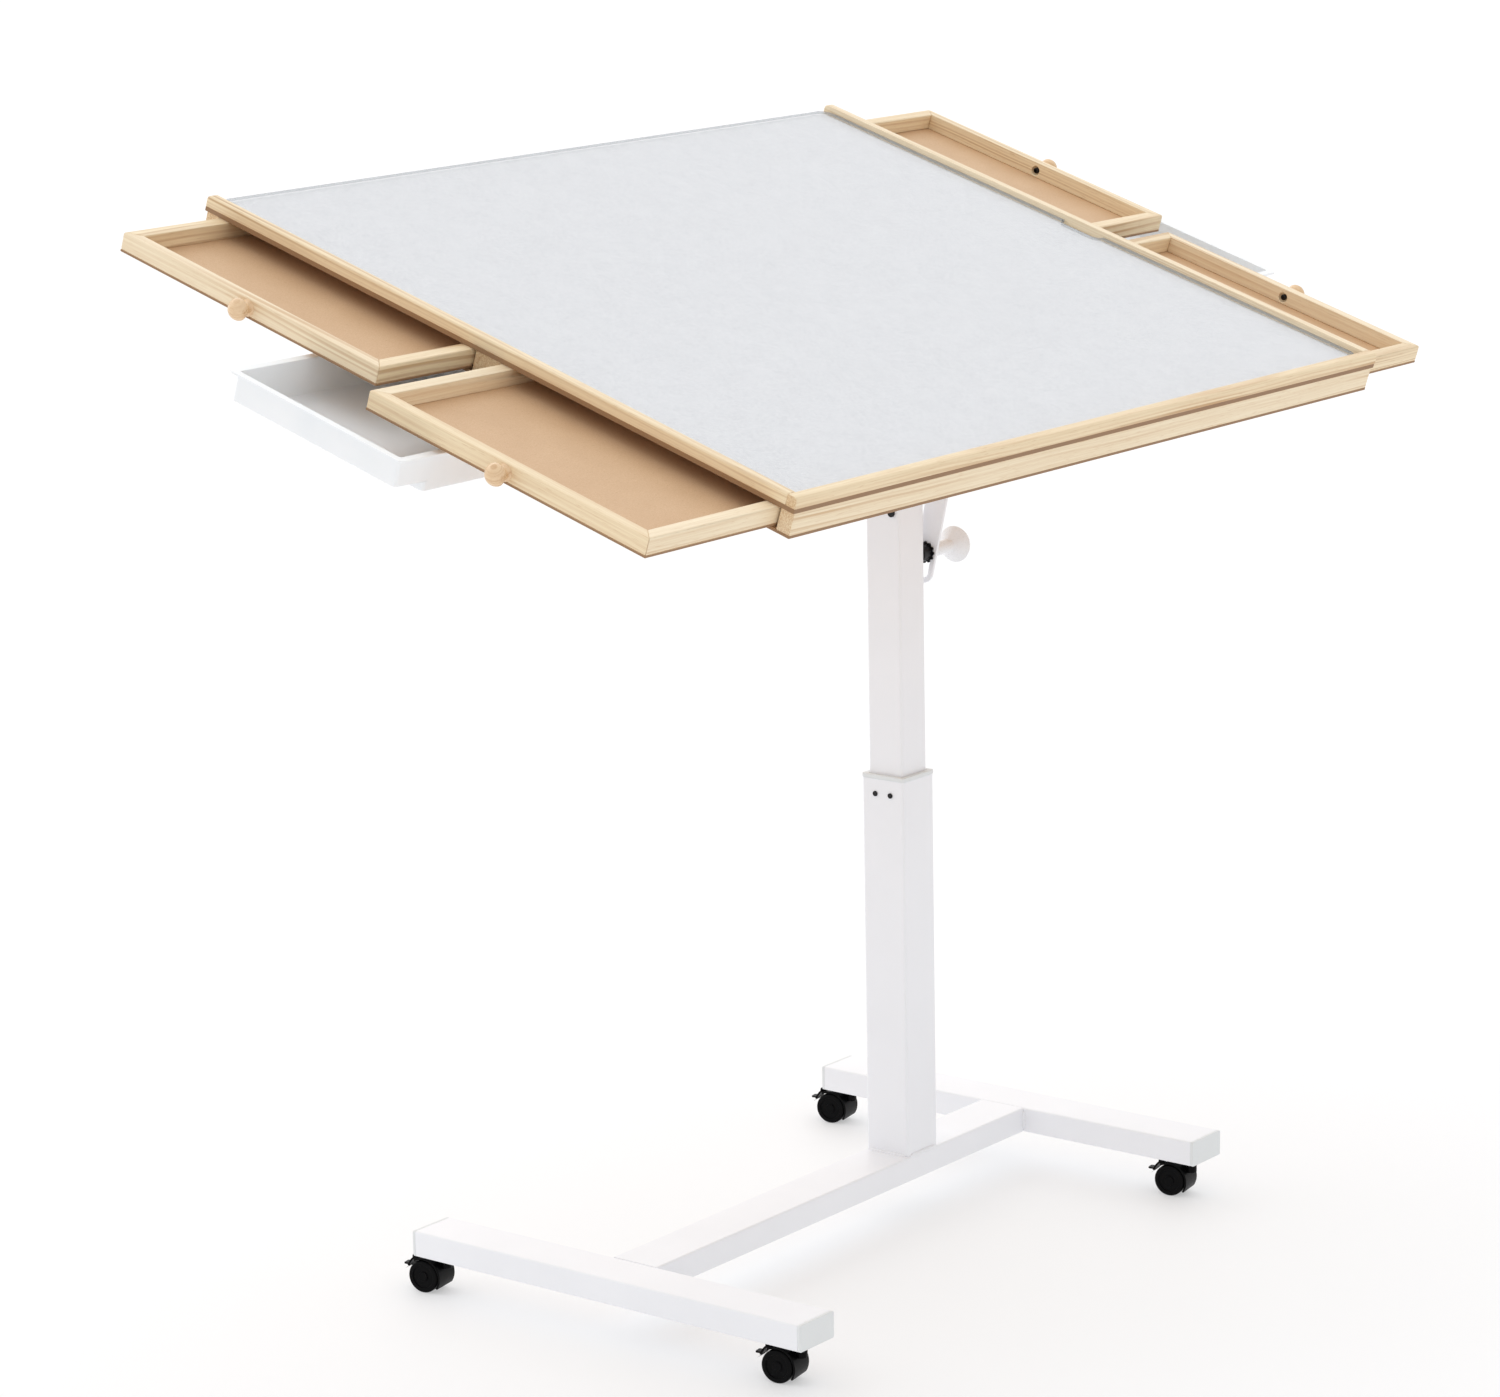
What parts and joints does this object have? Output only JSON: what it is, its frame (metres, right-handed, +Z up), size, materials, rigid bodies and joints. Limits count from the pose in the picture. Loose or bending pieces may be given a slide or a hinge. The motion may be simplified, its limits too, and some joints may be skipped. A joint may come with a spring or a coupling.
{
  "type": "jigsaw puzzle table",
  "caption": "Tilting wooden puzzle board with side drawers, a clear cover and slide-in trays, on a height-adjustable steel column with a wheeled base.",
  "frame": {"origin": "floor under the middle of the whole table's outline", "axes": "+X to the user's right, +Y away from the user, +Z up"},
  "size_m": [1.28, 0.6324, 0.9933],
  "materials": {
    "white_steel": "satin powder coat",
    "white_plastic": "moulded",
    "zinc_steel": "zinc plated",
    "black_steel": "gloss paint",
    "lever_black": "moulded over steel",
    "white_knob": "moulded",
    "pine": "clear satin varnish",
    "knob_wood": "clear satin varnish",
    "hardboard": "smooth hardboard",
    "felt": "short felt nap",
    "clear_sheet": "clear acrylic",
    "tray_plastic": "translucent white",
    "black_nylon": "moulded nylon"
  },
  "bodies": {
    "stand": {"foot_left": "white_steel", "foot_right": "white_steel", "spine_beam": "white_steel", "foot_end_caps": "white_plastic", "lower_column": "white_steel", "column_glide": "white_plastic", "stand_bolts": "black_steel", "gas_rod": "zinc_steel", "caster_stems": "zinc_steel"},
    "column": {"upper_column": "white_steel", "lower_glide": "white_plastic", "gas_cylinder": "black_steel", "hinge_head": "white_steel", "column_bolts": "black_steel"},
    "clamp_knob": {"clamp_knob": "white_knob"},
    "height_lever": {"height_lever": "lever_black"},
    "board": {"rim_front": "pine", "rim_left": "pine", "rim_right": "pine", "top_panel": "hardboard", "felt_surface": "felt", "aprons": "pine", "inner_frame": "pine", "bottom_panel": "hardboard", "hinge_bracket": "white_steel", "hinge_pins": "zinc_steel", "tray_rails": "white_steel", "board_screws": "zinc_steel"},
    "tilt_stay": {"tilt_stay": "white_steel"},
    "clear_cover": {"clear_cover": "clear_sheet"},
    "tray_left": {"tray_left": "tray_plastic"},
    "tray_right": {"tray_right": "tray_plastic"},
    "drawer_left_far": {"drawer_left_far_front": "pine", "drawer_left_far_walls": "pine", "drawer_left_far_bottom": "hardboard", "drawer_left_far_knob": "knob_wood"},
    "drawer_left_near": {"drawer_left_near_front": "pine", "drawer_left_near_walls": "pine", "drawer_left_near_bottom": "hardboard", "drawer_left_near_knob": "knob_wood"},
    "drawer_right_far": {"drawer_right_far_front": "pine", "drawer_right_far_walls": "pine", "drawer_right_far_bottom": "hardboard", "drawer_right_far_knob": "knob_wood"},
    "drawer_right_near": {"drawer_right_near_front": "pine", "drawer_right_near_walls": "pine", "drawer_right_near_bottom": "hardboard", "drawer_right_near_knob": "knob_wood"},
    "caster_left_near": {"caster_left_near_hood": "black_nylon"},
    "caster_left_near_wheels": {"caster_left_near_wheels": "black_nylon"},
    "caster_left_near_brake": {"caster_left_near_brake": "black_nylon"},
    "caster_left_far": {"caster_left_far_hood": "black_nylon"},
    "caster_left_far_wheels": {"caster_left_far_wheels": "black_nylon"},
    "caster_left_far_brake": {"caster_left_far_brake": "black_nylon"},
    "caster_right_near": {"caster_right_near_hood": "black_nylon"},
    "caster_right_near_wheels": {"caster_right_near_wheels": "black_nylon"},
    "caster_right_near_brake": {"caster_right_near_brake": "black_nylon"},
    "caster_right_far": {"caster_right_far_hood": "black_nylon"},
    "caster_right_far_wheels": {"caster_right_far_wheels": "black_nylon"},
    "caster_right_far_brake": {"caster_right_far_brake": "black_nylon"}
  },
  "joints": [
    {"name": "column_height", "type": "slide", "parent": "stand", "child": "column", "axis": [0, 0, 1], "range_m": [-0.19, 0.03]},
    {"name": "board_tilt", "type": "hinge", "parent": "column", "child": "board", "pos_m": [0.117, -0.0023, 0.838], "axis": [1, 0, 0], "range_deg": [-17.9, 2.1]},
    {"name": "stay_swing", "type": "hinge", "parent": "board", "child": "tilt_stay", "pos_m": [0.1495, -0.0594, 0.81956], "axis": [1, 0, 0], "range_deg": [-2.1, 17.9]},
    {"name": "clamp_turn", "type": "hinge", "parent": "column", "child": "clamp_knob", "pos_m": [0.148, -0.0143, 0.6245], "axis": [1, 0, 0], "continuous": true},
    {"name": "lever_lift", "type": "hinge", "parent": "column", "child": "height_lever", "pos_m": [0.092, -0.0023, 0.701], "axis": [0, 1, 0], "range_deg": [0, 8], "stiffness_Nm_per_rad": 1.5, "springref_deg": -5.73},
    {"name": "cover_lift", "type": "slide", "parent": "board", "child": "clear_cover", "axis": [0, -0.3074, 0.9516], "range_m": [0, 0.13]},
    {"name": "tray_left_slide", "type": "slide", "parent": "board", "child": "tray_left", "axis": [-1, 0, 0], "range_m": [-0.204, 0]},
    {"name": "tray_right_slide", "type": "slide", "parent": "board", "child": "tray_right", "axis": [1, 0, 0], "range_m": [-0.204, 0]},
    {"name": "drawer_left_far_slide", "type": "slide", "parent": "board", "child": "drawer_left_far", "axis": [-1, 0, 0], "range_m": [-0.115, 0.115]},
    {"name": "drawer_left_near_slide", "type": "slide", "parent": "board", "child": "drawer_left_near", "axis": [-1, 0, 0], "range_m": [-0.161, 0.069]},
    {"name": "drawer_right_far_slide", "type": "slide", "parent": "board", "child": "drawer_right_far", "axis": [1, 0, 0], "range_m": [-0.152, 0.078]},
    {"name": "drawer_right_near_slide", "type": "slide", "parent": "board", "child": "drawer_right_near", "axis": [1, 0, 0], "range_m": [-0.114, 0.116]},
    {"name": "caster_left_near_swivel", "type": "hinge", "parent": "stand", "child": "caster_left_near", "pos_m": [-0.3045, -0.2023, 0.03], "axis": [0, 0, 1], "continuous": true},
    {"name": "caster_left_near_roll", "type": "hinge", "parent": "caster_left_near", "child": "caster_left_near_wheels", "pos_m": [-0.30745, -0.18556, 0.015], "axis": [0.9848, 0.1736, 0], "continuous": true},
    {"name": "caster_left_near_press", "type": "hinge", "parent": "caster_left_near", "child": "caster_left_near_brake", "pos_m": [-0.30892, -0.17723, 0.03235], "axis": [-0.9848, -0.1736, 0], "range_deg": [0, 11]},
    {"name": "caster_left_far_swivel", "type": "hinge", "parent": "stand", "child": "caster_left_far", "pos_m": [-0.3045, 0.1977, 0.03], "axis": [0, 0, 1], "continuous": true},
    {"name": "caster_left_far_roll", "type": "hinge", "parent": "caster_left_far", "child": "caster_left_far_wheels", "pos_m": [-0.30745, 0.21444, 0.015], "axis": [0.9848, 0.1736, 0], "continuous": true},
    {"name": "caster_left_far_press", "type": "hinge", "parent": "caster_left_far", "child": "caster_left_far_brake", "pos_m": [-0.30892, 0.22277, 0.03235], "axis": [-0.9848, -0.1736, 0], "range_deg": [0, 11]},
    {"name": "caster_right_near_swivel", "type": "hinge", "parent": "stand", "child": "caster_right_near", "pos_m": [0.3045, -0.2023, 0.03], "axis": [0, 0, 1], "continuous": true},
    {"name": "caster_right_near_roll", "type": "hinge", "parent": "caster_right_near", "child": "caster_right_near_wheels", "pos_m": [0.30155, -0.18556, 0.015], "axis": [0.9848, 0.1736, 0], "continuous": true},
    {"name": "caster_right_near_press", "type": "hinge", "parent": "caster_right_near", "child": "caster_right_near_brake", "pos_m": [0.30008, -0.17723, 0.03235], "axis": [-0.9848, -0.1736, 0], "range_deg": [0, 11]},
    {"name": "caster_right_far_swivel", "type": "hinge", "parent": "stand", "child": "caster_right_far", "pos_m": [0.3045, 0.1977, 0.03], "axis": [0, 0, 1], "continuous": true},
    {"name": "caster_right_far_roll", "type": "hinge", "parent": "caster_right_far", "child": "caster_right_far_wheels", "pos_m": [0.30155, 0.21444, 0.015], "axis": [0.9848, 0.1736, 0], "continuous": true},
    {"name": "caster_right_far_press", "type": "hinge", "parent": "caster_right_far", "child": "caster_right_far_brake", "pos_m": [0.30008, 0.22277, 0.03235], "axis": [-0.9848, -0.1736, 0], "range_deg": [0, 11]}
  ],
  "couplings": [
    {"joint": "stay_swing", "follows": "board_tilt", "ratio": -1}
  ]
}
